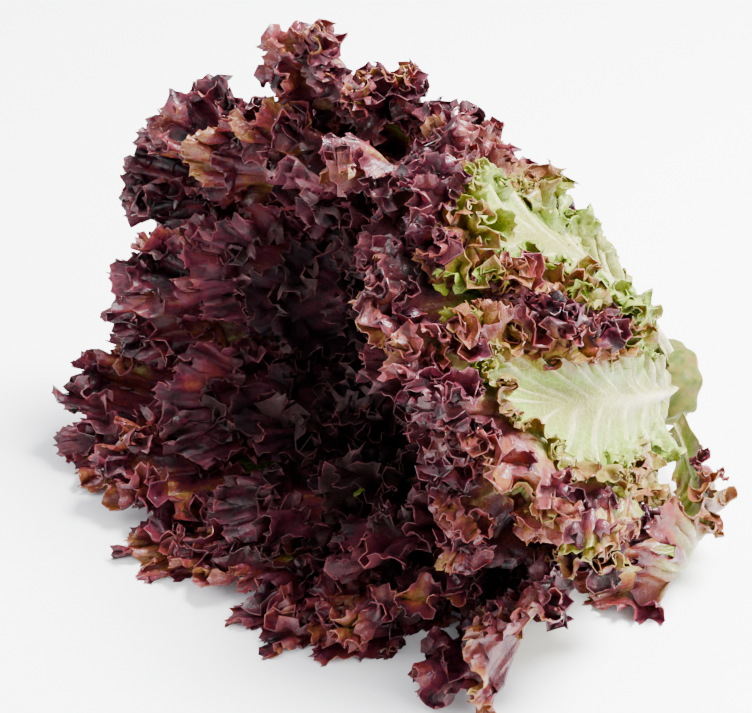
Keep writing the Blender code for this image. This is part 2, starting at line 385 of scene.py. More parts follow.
SPREAD = Ring(0.0, 1.0, 0.09, 0.0, 4.0, 1024, ())
OUTER = Ring(0.0, 1.0, 0.13, 0.075, 5.0, 1280, INNER_FOLDS)
OUTER_SHOWN_BACK = Ring(0.0, 1.0, 0.13, 0.075, 5.0, 1280, SHORT_FOLDS + OUTER_FOLDS)
OUTER_TOP = Ring(0.0, 1.0, 0.13, 0.075, 5.0, 1280, INNER_FOLDS + OUTER_FOLDS[2:])
OUTER_UNDER = Ring(0.0, 1.0, 0.11, 0.05, 4.2, 1280, INNER_FOLDS)
SECOND = Ring(0.21, 1.0, 0.07, 0.0, 4.2, 832, INNER_FOLDS)
SECOND_SHOWN_BACK = Ring(0.21, 1.0, 0.07, 0.0, 4.2, 832, INNER_FOLDS[1:] + OUTER_FOLDS[1:])
SECOND_UNDER = Ring(0.21, 1.0, 0.06, 0.0, 3.6, 832, INNER_FOLDS)
THIRD = Ring(0.42, 0.95, 0.07, 0.0, 3.6, 512, DEEP_FOLDS)
FOURTH = Ring(0.62, 0.86, 0.07, 0.0, 3.0, 320, DEEP_FOLDS)
HEART = Ring(0.82, 0.72, 0.065, 0.0, 2.2, 320, DEEP_FOLDS)

RED, PLUM, DARK = Colouring.BURGUNDY, Colouring.PLUM, Colouring.DARK
BRONZE, RUSTY = Colouring.BRONZE, Colouring.RUSTY
OLIVE, GREEN = Colouring.OLIVE, Colouring.GREEN


def hidden_leaves(
    name: str, ring: Ring, alike: tuple[float, float, Colouring], bearings: dict[str, float]
) -> list[LeafPlan]:
    """The leaves of an inner ring, which differ only in where they sit.

    Args:
        name: The ring's part of the leaves' names.
        ring: What they share.
        alike: Their half breadth in degrees, number of slow frills and colouring.
        bearings: Each leaf's own part of its name, and its bearing.

    Returns:
        Their plans.
    """
    return [
        LeafPlan(f"leaf_{name}_{place}", ring, bearing, *alike, Ruffle.HIDDEN)
        for place, bearing in bearings.items()
    ]


LEAVES = (
    LeafPlan("leaf_outer_top", OUTER_TOP, 31.0, 17.5, 10, RED),
    LeafPlan("leaf_outer_far_high", OUTER_SHOWN_BACK, 73.0, 23.0, 12, RUSTY),
    LeafPlan("leaf_outer_far_low", OUTER, 129.5, 22.5, 12, RED),
    LeafPlan("leaf_outer_under_far", OUTER_UNDER, 172.5, 16.5, 10, RED),
    LeafPlan("leaf_outer_under_near", OUTER_UNDER, 208.5, 16.5, 10, RED),
    LeafPlan("leaf_outer_near_low", OUTER_UNDER, 243.5, 16.5, 10, RUSTY),
    LeafPlan("leaf_outer_near", OUTER_SHOWN_BACK, 287.0, 23.0, 12, OLIVE),
    LeafPlan("leaf_outer_crown", OUTER_SHOWN_BACK, 336.0, 24.0, 12, BRONZE),
    LeafPlan(
        "leaf_spread", SPREAD, 245.0, 22.0, 11, GREEN, Ruffle.LOOSE,
        ((5.4, -5.0), (5.0, -18.0), (-4.0, -62.0), (-28.0, -82.0)),
    ),
    LeafPlan("leaf_second_top", SECOND, 7.0, 21.0, 9, RED),
    LeafPlan("leaf_second_far_high", SECOND, 52.0, 22.0, 9, RED),
    LeafPlan("leaf_second_far", SECOND, 99.0, 23.0, 10, RED),
    LeafPlan("leaf_second_far_low", SECOND_UNDER, 146.0, 22.0, 9, RED),
    LeafPlan("leaf_second_under", SECOND_UNDER, 189.0, 19.0, 8, RED),
    LeafPlan("leaf_second_near_low", SECOND_UNDER, 228.0, 18.0, 8, RED),
    LeafPlan("leaf_second_near", SECOND_SHOWN_BACK, 268.0, 20.0, 9, RUSTY),
    LeafPlan("leaf_second_crown", SECOND_SHOWN_BACK, 317.0, 26.5, 10, RUSTY),
    # The third ring's deeper plum is partly its own colour and partly painted shade of the hollow.
    *hidden_leaves("third", THIRD, (24.3, 9, PLUM), {
        "top": 30.0, "far_high": 81.0, "far_low": 132.0, "under_far": 184.0,
        "under_near": 235.0, "near": 287.0, "crown": 338.0,
    }),
    # The fourth ring and the heart are painted near-black as the shade of the hollow.
    *hidden_leaves("fourth", FOURTH, (34.0, 7, DARK), {
        "top": 5.0, "far_high": 77.0, "far_low": 149.0, "under": 221.0, "near": 293.0,
    }),
    *hidden_leaves("heart", HEART, (56.0, 5, DARK), {"far": 45.0, "under": 165.0, "near": 285.0}),
)


@dataclass(frozen=True)
class FlatLeaf:
    """The flat leaf's outline, shared by every leaf, as the frame's solids have it.

    Breadth is half the leaf's width along the rib, as a share of its widest.
    """

    breadth_along: tuple[float, ...] = (0.0, 0.1, 0.3, 0.5, 0.74)
    breadth_half: tuple[float, ...] = (0.8, 0.62, 0.78, 0.94, 1.0)
    cap_start: float = 0.74
    cap_power: float = 0.75
    outline_points: int = 80
    rib_reach: float = 0.7
    nominal_length: float = 185.0
    nominal_radii: Pair = (15.0, 95.0)
    plain_weight: float = 0.3
    frill_along: Pair = (0.18, 0.5)

    def outline(self) -> tuple[Array, Array]:
        """The margin from one root corner round the tip to the other: across and along."""
        side_along = np.linspace(0.0, self.cap_start, self.outline_points, endpoint=False)
        side_across = np.interp(side_along, self.breadth_along, self.breadth_half)
        turn = np.linspace(0.0, math.pi / 2, self.outline_points)
        cap_along = self.cap_start + (1.0 - self.cap_start) * np.sin(turn) ** self.cap_power
        cap_across = np.cos(turn).clip(0.0) ** self.cap_power
        across = np.concatenate((side_across, cap_across))
        along = np.concatenate((side_along, cap_along))
        return (
            np.concatenate((-across, across[-2::-1])),
            np.concatenate((along, along[-2::-1])),
        )

    def margin(self, half_angle: float, share: Array) -> tuple[Array, ...]:
        """The margin with one point a column.

        Args:
            half_angle: Half the leaf's breadth in degrees.
            share: The share of the margin travelled at each column.

        Returns:
            Across, along, and the share of the margin travelled.
        """
        across, along = self.outline()
        radius = np.interp(along, (0.0, 1.0), self.nominal_radii)
        width = across * radius * math.radians(half_angle)
        step = np.hypot(np.diff(width), np.diff(along) * self.nominal_length)
        plain = 1.0 - smooth_step(*self.frill_along, (along[1:] + along[:-1]) / 2)
        step *= 1.0 - plain * (1.0 - self.plain_weight)
        travelled = np.concatenate(([0.0], np.cumsum(step)))
        travelled /= travelled[-1]
        return np.interp(share, travelled, across), np.interp(share, travelled, along), share


@dataclass(frozen=True)
class SlowFrill:
    """The slow frill and swell that the leaf's solid has too."""

    start: float = 0.34
    growth: float = 1.1
    draw_back: float = 0.04
    sway: float = 0.03
    uneven_spacing: tuple[Pair, ...] = ((2.0, 0.5), (5.0, 0.35))
    uneven_height: float = 0.25
    height_waves: float = 3.5
    swell_waves: float = 2.5
    swell_share: float = 0.35
    swell_growth: float = 1.5

    def waves(
        self, seed: int, count: float, share: Array
    ) -> tuple[Array, Array, Array]:
        """The frill and swell along the margin.

        Args:
            seed: The leaf's number in the head.
            count: How many waves the leaf has.
            share: The share of the margin travelled.

        Returns:
            The frill and the swell, each from about -1 to 1, and the frill's phase.
        """
        starts = np.random.default_rng(seed).uniform(0.0, TURN, 5)
        phase = TURN * count * share + starts[0]
        for (times, size), start in zip(self.uneven_spacing, starts[1:]):
            phase = phase + size * np.sin(TURN * times * share + start)
        rise = 0.5 + 0.5 * np.sin(TURN * self.height_waves * share + starts[3])
        swell = np.sin(TURN * self.swell_waves * share + starts[4])
        return (1.0 - self.uneven_height * rise) * np.sin(phase), swell, phase


@dataclass(frozen=True)
class Crumple:
    """Irregular dents of the leaves, alike where leaves lie close. Lengths are millimetres."""

    count: int = 10
    lengths: Pair = (9.0, 22.0)
    height: float = 1.1

    def bent(self, points: Array, place: Array, leafy: Array) -> Array:
        """The points moved squarely off the blade by a field of crossing waves.

        Args:
            points: Points in metres by row and column.
            place: The rows' places from rib to margin.
            leafy: How far each column has its frill, 0 to 1.

        Returns:
            The dented points.
        """
        draw = np.random.default_rng(80)
        directions = unit(draw.normal(size=(self.count, 3)))
        waves = directions * TURN / (draw.uniform(*self.lengths, (self.count, 1)) * MM)
        starts = draw.uniform(0.0, TURN, self.count)
        field = np.sin(points @ waves.T + starts).sum(axis=-1) * math.sqrt(2.0 / self.count)
        _, _, normal = local_frame(points, place)
        return points + (self.height * MM * field * leafy * place[:, None])[..., None] * normal


@dataclass
class Solid:
    """A closed thin shell: points, triangles, values of each point, and which are on its rim."""

    points: Array
    triangles: Array
    values: dict[str, Array]
    rim: Array

    @staticmethod
    def joined(solids: list["Solid"]) -> "Solid":
        """Several solids as one, each still closed in itself."""
        starts = np.cumsum([0] + [len(solid.points) for solid in solids[:-1]])
        return Solid(
            np.concatenate([solid.points for solid in solids]),
            np.concatenate([solid.triangles + start for solid, start in zip(solids, starts)]),
            {
                name: np.concatenate([solid.values[name] for solid in solids])
                for name in solids[0].values
            },
            np.concatenate([solid.rim for solid in solids]),
        )


@dataclass
class Sheet:
    """A piece of blade as a grid of points in metres, by row and column.

    Shares say how many columns each row keeps: every first, second, fourth and so on. Behind
    and before are the thickness on either side in millimetres. A folded sheet's first row runs
    up the rib and down again over the same points.
    """

    grid: Array
    shares: tuple[int, ...]
    behind: Array
    before: Array
    values: dict[str, Array]
    folded: bool = False

    def numbers(self) -> list[tuple[Array, int]]:
        """Each row's point numbers, and how many new points it has."""
        start, made = 0, []
        for row, share in enumerate(self.shares):
            count = len(self.grid[row, ::share])
            index = np.arange(count)
            kept = count
            if self.folded and row == 0:
                kept = count // 2 + 1
                index = np.minimum(index, count - 1 - index)
            made.append((start + index, kept))
            start += kept
        return made

    def kept(self, values: Array) -> Array:
        """The values by row and column as one list, with only the points that the sheet keeps."""
        rows = zip(self.numbers(), self.shares, values)
        return np.concatenate([line[::share][:kept] for (_, kept), share, line in rows])

    def faces(self) -> Array:
        """Triangles between each row and the next, which may have twice as many points."""
        rows = [number for number, _ in self.numbers()]
        faces = []
        for inner, outer in zip(rows, rows[1:]):
            a, b = inner[:-1], inner[1:]
            if len(inner) == len(outer):
                c, d = outer[1:], outer[:-1]
                faces += [(a, b, c), (a, c, d)]
            else:
                first, second, third = outer[:-2:2], outer[1::2], outer[2::2]
                faces += [(a, second, first), (a, b, second), (b, third, second)]
        joined = np.concatenate([np.stack(face, axis=1) for face in faces])
        a, b, c = joined.T
        return joined[(a != b) & (b != c) & (a != c)]

    def solid(self) -> Solid:
        """The sheet with its thickness: its back, its face and the rim between them."""
        points, faces = self.kept(self.grid), self.faces()
        behind, before = self.kept(self.behind), self.kept(self.before)
        first, second, third = np.moveaxis(points[faces], 1, 0)
        square = np.cross(second - first, third - first)
        normals = np.zeros_like(points)
        for corner in range(3):
            np.add.at(normals, faces[:, corner], square)
        normals = unit(normals)
        both = np.concatenate(
            (points + normals * behind[:, None] * MM, points - normals * before[:, None] * MM)
        )
        both[:, 2] = np.maximum(both[:, 2], 0.0)
        count = len(points)
        here, there = self.border(faces, count).T
        rim = np.concatenate(
            (
                np.stack((there, here, here + count), 1),
                np.stack((there, here + count, there + count), 1),
            )
        )
        values = {name: np.tile(self.kept(grid), 2) for name, grid in self.values.items()}
        values["back"] = np.repeat((1.0, 0.0), count)
        on_rim = np.zeros(2 * count, dtype=bool)
        on_rim[np.concatenate((here, here + count))] = True
        triangles = np.concatenate((faces, faces[:, ::-1] + count, rim))
        return Solid(both, triangles, values, on_rim)

    @staticmethod
    def border(faces: Array, count: int) -> Array:
        """The edges that only one triangle has, each as its start and end in that triangle."""
        edges = np.concatenate((faces[:, (0, 1)], faces[:, (1, 2)], faces[:, (2, 0)]))
        forward = edges[:, 0] * count + edges[:, 1]
        backward = edges[:, 1] * count + edges[:, 0]
        return edges[~np.isin(forward, backward)]


@dataclass
class Ground:
    """A finished blade that folds stand on: its points, the same points before they were curled,
    its rows' places, how far along the leaf each column is and how red each point is."""

    points: Array
    calm: Array
    place: Array
    along: Array
    red: Array

    def at(self, spot: Array, column: Array) -> tuple[Array, ...]:
        """What the blade is like under a line that runs over it.

        Args:
            spot: The line's places between rib and margin.
            column: The line's columns, which need not be whole.

        Returns:
            The line's points, directions out of the leaf and square to the calm blade, redness
            and places along the leaf.
        """
        _, outward, normal = local_frame(self.calm, self.place)
        row = np.clip(np.searchsorted(self.place, spot) - 1, 0, len(self.place) - 2)
        down = (spot - self.place[row]) / (self.place[row + 1] - self.place[row])
        first = np.clip(column.astype(int), 0, len(self.along) - 2)
        past = column - first

        def here(values: Array) -> Array:
            """The blade's values under the line."""
            shape = (-1,) + (1,) * (values.ndim - 2)
            low, far = down.reshape(shape), past.reshape(shape)
            above = values[row, first] * (1.0 - far) + values[row, first + 1] * far
            below = values[row + 1, first] * (1.0 - far) + values[row + 1, first + 1] * far
            return above * (1.0 - low) + below * low

        along = self.along[first] * (1.0 - past) + self.along[first + 1] * past
        return here(self.points), unit(here(outward)), unit(here(normal)), here(self.red), along


@dataclass
class Leaf:
    """Builds one leaf's mesh and dresses it.

    Rows are the places from rib to margin, each with how many columns it has one point for.
    Blade, margin and vein_height are thicknesses in millimetres, and thinning is how far from
    the margin the blade begins to thin. Each vein fork is where it starts and ends between rib
    and margin, and its width. Folds keep bare_height of their height where the leaf is bare.
    The pairs of fold_heights, swings and notch_sizes are a middle and how far it strays.
    """

    plan: LeafPlan
    seed: int
    shells: Shells = Shells()
    flat: FlatLeaf = FlatLeaf()
    slow: SlowFrill = SlowFrill()
    crumple: Crumple = Crumple()
    rows: tuple[tuple[float, int], ...] = (
        (0.0, 16), (0.05, 16), (0.13, 16), (0.24, 8), (0.37, 8), (0.5, 4), (0.61, 4),
        (0.71, 2), (0.8, 2), (0.88, 2), (0.94, 1), (0.975, 1), (1.0, 1),
    )
    blade: float = 0.45
    margin: float = 0.28
    rib_width: float = 0.12
    rib_fade: float = 0.85
    rib_behind: float = 0.7
    vein_count: int = 20
    vein_height: float = 1.1
    uneven: float = 0.4
    flaring: float = 1.2
    lift: float = 0.25
    settle: float = 0.8
    fold_rows: tuple[tuple[float, int], ...] = ((0.0, 4), (0.3, 4), (0.6, 2), (0.84, 1), (1.0, 1))
    fold_share: float = 0.75
    evenness: float = 0.5
    sunk: float = 0.5
    fold_blush: float = 0.1
    leafy_along: Pair = (0.14, 0.42)
    teeth_from: float = 0.84
    thinning: float = 9.0
    vein_fade: Pair = (4.0, 20.0)
    vein_forks: tuple[Triple, ...] = (
        (0.0, 0.9, 0.13), (0.3, 0.96, 0.16), (0.6, 1.0, 0.2),
    )
    fold_heights: Pair = (0.75, 0.35)
    bare_height: float = 0.15
    waver: float = 1.6
    swings: Pair = (0.8, 0.32)
    scallop_round: float = 0.7
    tooth_range: Pair = (0.5, 1.3)
    notch_round: float = 0.8
    notch_wander: float = 0.35
    notch_sizes: Pair = (0.6, 0.4)
    patch_knots: tuple[tuple[int, int], ...] = ((4, 16), (7, 44))
    fine_patches: float = 0.6

    def slow_form(
        self, place: Array, margin: tuple[Array, Array, Array]
    ) -> Array:
        """The leaf as its solid has it, with no finer curls.

        Args:
            place: The rows' places from rib to margin.
            margin: Across, along and share travelled at each column.

        Returns:
            Points in metres by row and column.
        """
        plan, ring, slow = self.plan, self.plan.ring, self.slow
        edge_across, edge_along, share = margin
        level = place[:, None]
        notch = self.notches(share) * smooth_step(0.35, 1.0, level)
        reach = level * (1.0 - notch)
        rib_along = self.flat.rib_reach * edge_along
        across = reach * edge_across
        along = rib_along + reach * (edge_along - rib_along)
        leafy = smooth_step(*self.flat.frill_along, edge_along)
        growth = np.clip((level - slow.start) / (1.0 - slow.start), 0.0, 1.0) ** slow.growth
        strength = growth * leafy
        wave, swell, phase = slow.waves(self.seed, plan.waves, share)
        offset = strength * (ring.frill * wave - ring.flare)
        offset = offset + slow.swell_share * ring.frill * swell * leafy * level**slow.swell_growth
        tangent_across, tangent_along = np.gradient(edge_across), np.gradient(edge_along)
        sway = slow.sway * strength * np.sin(2 * phase) / np.hypot(tangent_across, tangent_along)
        across = across + sway * tangent_across * smooth_step(1.0, 0.75, np.abs(edge_across))
        along = along + sway * tangent_along - slow.draw_back * strength * wave**2
        along = along * ring.reach
        angle = math.radians(plan.bearing) + math.radians(plan.half_angle) * across
        along = along + offset * self.shells.square_shift(ring.depth, angle, along, plan.bend)
        return self.shells.settled(
            self.shells.points(ring.depth + offset, angle, along, plan.bend)
        )

    def notches(self, share: Array) -> Array:
        """How deep the margin draws back between lobes, as a share of the leaf's breadth."""
        edge: Edge = self.plan.ruffle.value[1]
        draw = np.random.default_rng((self.seed, 1))
        phase = edge.lobes * share + self.notch_wander * drift(draw, edge.lobes, share)
        sharp = 1.0 - np.abs(np.sin(math.pi * phase)) ** self.notch_round
        middle, spread = self.notch_sizes
        return edge.notch * sharp * (middle + spread * drift(draw, 12, share))

    def even_columns(self, count: int, margin: Callable[[Array], Array]) -> Array:
        """Shares of a margin that lie about evenly far apart once it is curled.

        Args:
            count: How many columns the blade has.
            margin: Gives the curled margin's points at any shares.

        Returns:
            The share travelled at each column.
        """
        share = np.linspace(0.0, 1.0, count + 1)
        step = np.linalg.norm(np.diff(margin(share), axis=0), axis=-1)
        travelled = np.concatenate(([0.0], np.cumsum(step + self.evenness * step.mean())))
        return np.interp(share * travelled[-1], travelled, share)

    def curled(
        self,
        points: Array,
        place: Array,
        share: Array,
        leafy: Array,
        number: int,
    ) -> Array:
        """Adds the finer curls, one size after the other.

        Args:
            points: The leaf's points in metres by row and column.
            place: The rows' places from rib to margin.
            share: The share of the margin travelled at each column.
            leafy: How far each column has its frill, 0 to 1.
            number: 0 for the blade, or which of its folds.

        Returns:
            The curled points.
        """
        curls: tuple[Curl, ...] = self.plan.ruffle.value[0]
        for size, curl in enumerate(curls):
            draw = np.random.default_rng((self.seed, 2, number, size))
            tangent, _, normal = local_frame(points, place)
            rim = self.rim_distance(points)
            step = np.linalg.norm(np.diff(points[-1], axis=0), axis=-1)
            travelled = np.concatenate(([0.0], np.cumsum(step))) / (curl.length * MM)
            knots = max(6, int(travelled[-1]))
            uneven = 1.0 + self.uneven * drift(draw, knots, share[1:])
            phase = TURN * np.concatenate(([0.0], np.cumsum(np.diff(travelled) * uneven)))
            phase = phase + self.waver * drift_sheet(draw, (3, knots // 2), place, share)
            growth = np.clip(1.0 - rim / curl.reach, 0.0, 1.0) ** self.flaring
            middle, spread = self.swings
            swing = growth * leafy * (middle + spread * drift(draw, knots, share)) * MM
            roll = -curl.loop * curl.length / (2.0 * TURN)
            points = (
                points
                + (swing * curl.height * np.sin(phase))[..., None] * normal
                + (swing * roll * np.sin(2 * phase))[..., None] * tangent
            )
        return points

    def toothed(
        self, points: Array, place: Array, leafy: Array, number: int
    ) -> Array:
        """Adds the margin's cupped scallops between pointed teeth.

        Args:
            points: The leaf's points in metres by row and column.
            place: The rows' places from rib to margin.
            leafy: How far each column has its frill, 0 to 1.
            number: 0 for the blade, or which of its folds.

        Returns:
            The points with teeth.
        """
        edge: Edge = self.plan.ruffle.value[1]
        draw = np.random.default_rng((self.seed, 3, number))
        columns = points.shape[1]
        step = np.linalg.norm(np.diff(points[-1], axis=0), axis=-1).mean() / MM
        steps = np.maximum(np.round(draw.uniform(*edge.scallop, columns) / step), 3).astype(int)
        cusps = np.concatenate(([0], np.cumsum(steps)))
        column = np.arange(columns)
        owner = np.searchsorted(cusps, column, side="right") - 1
        spot = (column - cusps[owner]) / steps[owner]
        bow = np.sin(math.pi * spot) ** self.scallop_round
        depth = draw.uniform(*self.tooth_range, columns)[owner] * edge.tooth
        cup = draw.choice((-1.0, 1.0), columns)[owner] * edge.cup
        _, outward, normal = local_frame(points, place)
        near = smooth_step(self.teeth_from, 1.0, place)[:, None] * leafy * MM
        return (
            points
            - (near * depth * bow)[..., None] * outward
            + (near * cup * (bow - 0.4))[..., None] * normal
        )

    @staticmethod
    def rim_distance(points: Array) -> Array:
        """How far each point is from the margin over the blade, in millimetres."""
        steps = np.linalg.norm(np.diff(points, axis=0), axis=-1) / MM
        inward = np.cumsum(steps[::-1], axis=0)[::-1]
        return np.vstack((inward, np.zeros((1, points.shape[1]))))

    def veins(self, place: Array, share: Array) -> Array:
        """The side veins, which fork on their way to the margin.

        Args:
            place: The rows' places from rib to margin.
            share: The share of the margin travelled at each column.

        Returns:
            1 on a vein and 0 between veins, by row and column.
        """
        draw = np.random.default_rng((self.seed, 4))
        level = place[:, None]
        wander = 0.3 * drift(draw, self.vein_count, share)
        found = np.zeros((len(place), len(share)))
        for fork, (start, end, width) in enumerate(self.vein_forks):
            count = self.vein_count * 2**fork
            phase = count * share + wander * 2**fork + 0.12 * drift_sheet(
                draw, (3, self.vein_count), place, share
            )
            off = np.abs(phase - np.round(phase))
            line = smooth_step(width, 0.0, off) * smooth_step(start, start + 0.15, level + 0.01)
            found = np.maximum(found, line * smooth_step(end + 0.1, end - 0.25, level) / (1 + fork))
        return found

    def redness(
        self, place: Array, margin: tuple[Array, Array, Array]
    ) -> Array:
        """How red the leaf is, by row and column: 0 pale green to 1 deep plum."""
        blush: Blush = self.plan.colouring.value
        _, along, share = margin
        draw = np.random.default_rng((self.seed, 5))
        level = place[:, None]
        red = smooth_step(*blush.place, level) * smooth_step(*blush.along, along)
        broad, fine = (drift_sheet(draw, knots, place, share) for knots in self.patch_knots)
        patch = broad + self.fine_patches * fine
        return np.clip(red * blush.depth * (1.0 + blush.patches * patch), 0.0, blush.limit)

    def sheets(self) -> list[Sheet]:
        """The leaf's blade and the folds that stand up from it."""
        place = np.array([row[0] for row in self.rows])

        def blade_at(share: Array) -> tuple[Array, ...]:
            """The curled blade at some shares of its margin, with its margin and leafiness."""
            margin = self.flat.margin(self.plan.half_angle, share)
            leafy = smooth_step(*self.leafy_along, margin[1])
            return self.curled(self.slow_form(place, margin), place, share, leafy, 0), margin, leafy

        share = self.even_columns(self.plan.ring.columns, lambda share: blade_at(share)[0][-1])
        grid, margin, leafy = blade_at(share)
        grid = self.crumple.bent(grid, place, leafy)
        grid = self.pressed(self.toothed(grid, place, leafy, 0))
        rim = self.rim_distance(grid)
        rib = np.exp(-((place / self.rib_width) ** 2))[:, None] * (1.0 - self.rib_fade * margin[1])
        vein = self.veins(place, share)
        red = self.redness(place, margin)
        added = (self.plan.ring.rib - self.blade) * rib
        blade = self.thickness(rim)
        raised = self.vein_height * vein * smooth_step(*self.vein_fade, rim)
        behind = blade / 2 + self.rib_behind * added + raised
        before = blade / 2 + (1.0 - self.rib_behind) * added
        values = {"red": red, "vein": vein, "rim": rim, "rib": rib}
        shares = tuple(row[1] for row in self.rows)
        made = [Sheet(grid, shares, behind, before, values, folded=True)]
        ground = Ground(grid, self.slow_form(place, margin), place, margin[1], red)
        for number, fold in enumerate(self.plan.ring.folds, 1):
            made.append(self.fold_sheet(fold, number, ground))
        return made

    def thickness(self, rim: Array) -> Array:
        """The blade's thickness in millimetres at a distance from the margin."""
        return self.blade + (self.margin - self.blade) * smooth_step(self.thinning, 0.0, rim)

    def pressed(self, points: Array) -> Array:
        """The points softly kept above the table."""
        soft, lift = self.settle * MM, self.lift * MM
        kept = points.copy()
        kept[..., 2] = soft * np.logaddexp(0.0, (points[..., 2] - lift) / soft) + lift
        return kept

    def fold_sheet(self, fold: Fold, number: int, ground: Ground) -> Sheet:
        """A fold that stands up from the blade.

        Args:
            fold: Where and how it stands.
            number: Which of the leaf's folds it is, from 1.
            ground: The blade that it stands on.

        Returns:
            The fold's own grid and values.
        """
        level = np.array([row[0] for row in self.fold_rows])
        lean = math.radians(fold.lean)
        side = fold.side * math.cos(lean), math.sin(lean)
        bare = np.nonzero(ground.along > fold.along[0])[0][[0, -1]]

        def fold_at(share: Array) -> tuple[Array, ...]:
            """The curled fold at some shares of its length, with its leafiness and redness."""
            draw = np.random.default_rng((self.seed, 6, number))
            spot = fold.place + fold.wander * drift(draw, 9, share)
            column = bare[0] + share * (bare[1] - bare[0])
            foot, outward, normal, red, along = ground.at(spot, column)
            ends = smooth_step(0.0, fold.ends, share) * smooth_step(1.0, 1.0 - fold.ends, share)
            leafy = smooth_step(*fold.along, along) * ends
            middle, spread = self.fold_heights
            height = fold.height * (middle + spread * drift(draw, 14, share))
            height = height * (self.bare_height + (1.0 - self.bare_height) * leafy)
            lengths = level[:, None] * (height + self.sunk) - self.sunk
            rising = side[0] * normal + side[1] * outward
            points = foot + lengths[..., None] * MM * rising
            return self.curled(points, level, share, leafy, number), leafy, red

        count = round(self.plan.ring.columns * self.fold_share)
        share = self.even_columns(count, lambda share: fold_at(share)[0][-1])
        points, leafy, red = fold_at(share)
        points = self.crumple.bent(points, level, leafy)
        points = self.pressed(self.toothed(points, level, leafy, number))
        rim = self.rim_distance(points)
        blade = self.thickness(rim)
        deepest = self.plan.colouring.value.limit
        tinted = np.clip(red + self.fold_blush * level[:, None], 0.0, deepest)
        nothing = np.zeros_like(rim)
        values = {"red": tinted, "vein": nothing, "rim": rim, "rib": nothing}
        return Sheet(points, tuple(row[1] for row in self.fold_rows), blade / 2, blade / 2, values)

    def mesh(self) -> bpy.types.Mesh:
        """The leaf's blade and folds as one mesh of closed thin solids."""
        solid = Solid.joined([sheet.solid() for sheet in self.sheets()])
        mesh = make_mesh(self.plan.name + "_frilled", solid.points, solid.triangles)
        mark_sharp(mesh, solid.rim, solid.values["back"])
        for name, values in solid.values.items():
            add_values(mesh, name, values)
        return mesh

    def build(self, finish: bpy.types.Material, slot: str) -> bpy.types.Object:
        """Builds and dresses the leaf, and puts it in its solid's place.

        Args:
            finish: The leaf's material.
            slot: The record's material slot; not used.

        Returns:
            The finished piece.
        """
        return place_piece(self.mesh(), finish, self.plan.name)


@dataclass(frozen=True)
class Butt:
    """The short cut stem, with the scars of leaves that were pulled off and a flat cut end.

    The profile's pairs are height along the axis and radius, in millimetres.
    """

    shells: Shells = Shells()
    profile: tuple[Pair, ...] = (
        (-9.4, 0.0), (-9.6, 4.0), (-9.75, 8.0), (-10.0, 12.6), (-9.8, 14.3), (-8.8, 15.5),
        (-6.0, 16.2), (-3.0, 16.0), (0.0, 16.1), (3.0, 15.6), (6.0, 14.6), (12.0, 12.2),
        (20.0, 9.2), (27.0, 6.6), (33.0, 4.4), (38.0, 1.9), (38.8, 0.0),
    )
    sides: int = 96
    fine_steps: int = 4
    ridges: int = 9
    ridge_height: float = 0.8
    bump_share: float = 0.9
    outside_from: Pair = (11.0, 15.0)
    cut_from: Pair = (-8.0, -9.4)
    widest: float = 16.0

    def mesh(self) -> bpy.types.Mesh:
        """The butt turned about the head's axis."""
        heights, radii = np.array(self.profile).T
        knots = np.arange(len(heights))
        fine = np.linspace(0, len(heights) - 1, (len(heights) - 1) * self.fine_steps + 1)
        height = np.interp(fine, knots, heights)[1:-1]
        radius = np.interp(fine, knots, radii)[1:-1]
        axis, up, side = self.shells.directions()
        angle = np.linspace(0.0, TURN, self.sides, endpoint=False)
        draw = np.random.default_rng(90)
        bumps = drift_sheet(draw, (9, 24), np.linspace(0.0, 1.0, len(height)), angle / TURN)
        seam = smooth_step(0.0, 0.12, angle / TURN) * smooth_step(1.0, 0.88, angle / TURN)
        outside = smooth_step(*self.outside_from, radius)[:, None]
        ripple = np.sin(self.ridges * angle + 2.0 * np.sin(height[:, None] / 4.0))
        swell = outside * self.ridge_height * (ripple + self.bump_share * bumps * seam)
        wide = radius[:, None] + swell
        ring = (
            height[:, None, None] * axis
            + (wide * np.cos(angle))[..., None] * up
            + (wide * np.sin(angle))[..., None] * side
        )
        ends = np.array((heights[0] * axis, heights[-1] * axis))
        points = (np.concatenate((ring.reshape(-1, 3), ends)) + np.array(self.shells.base)) * MM
        rows, count = len(height), self.sides
        number = np.arange(rows * count).reshape(rows, count)
        after = np.roll(number, -1, axis=1)
        a, b, c, d = number[:-1], after[:-1], after[1:], number[1:]
        first, last = rows * count, rows * count + 1
        parts = [
            np.stack((a, b, c), -1).reshape(-1, 3),
            np.stack((a, c, d), -1).reshape(-1, 3),
            np.stack((np.full(count, first), after[0], number[0]), -1),
            np.stack((np.full(count, last), number[-1], after[-1]), -1),
        ]
        mesh = make_mesh("stem_butt", points, np.concatenate(parts))
        cut = smooth_step(*self.cut_from, np.repeat(height, count))
        spokes = np.tile(angle / TURN, rows)
        add_values(mesh, "cut", np.concatenate((cut, (1.0, 0.0))))
        centre = np.repeat(radius / self.widest, count)
        add_values(mesh, "centre", np.concatenate((centre, (0.0, 0.0))))
        add_values(mesh, "spoke", np.concatenate((spokes, (0.0, 0.0))))
        return mesh

    def build(self, finish: bpy.types.Material, slot: str) -> bpy.types.Object:
        """Builds the butt and puts it in its solid's place.

        Args:
            finish: The butt's material.
            slot: The record's material slot; not used.

        Returns:
            The finished piece.
        """
        return place_piece(self.mesh(), finish, "stem")


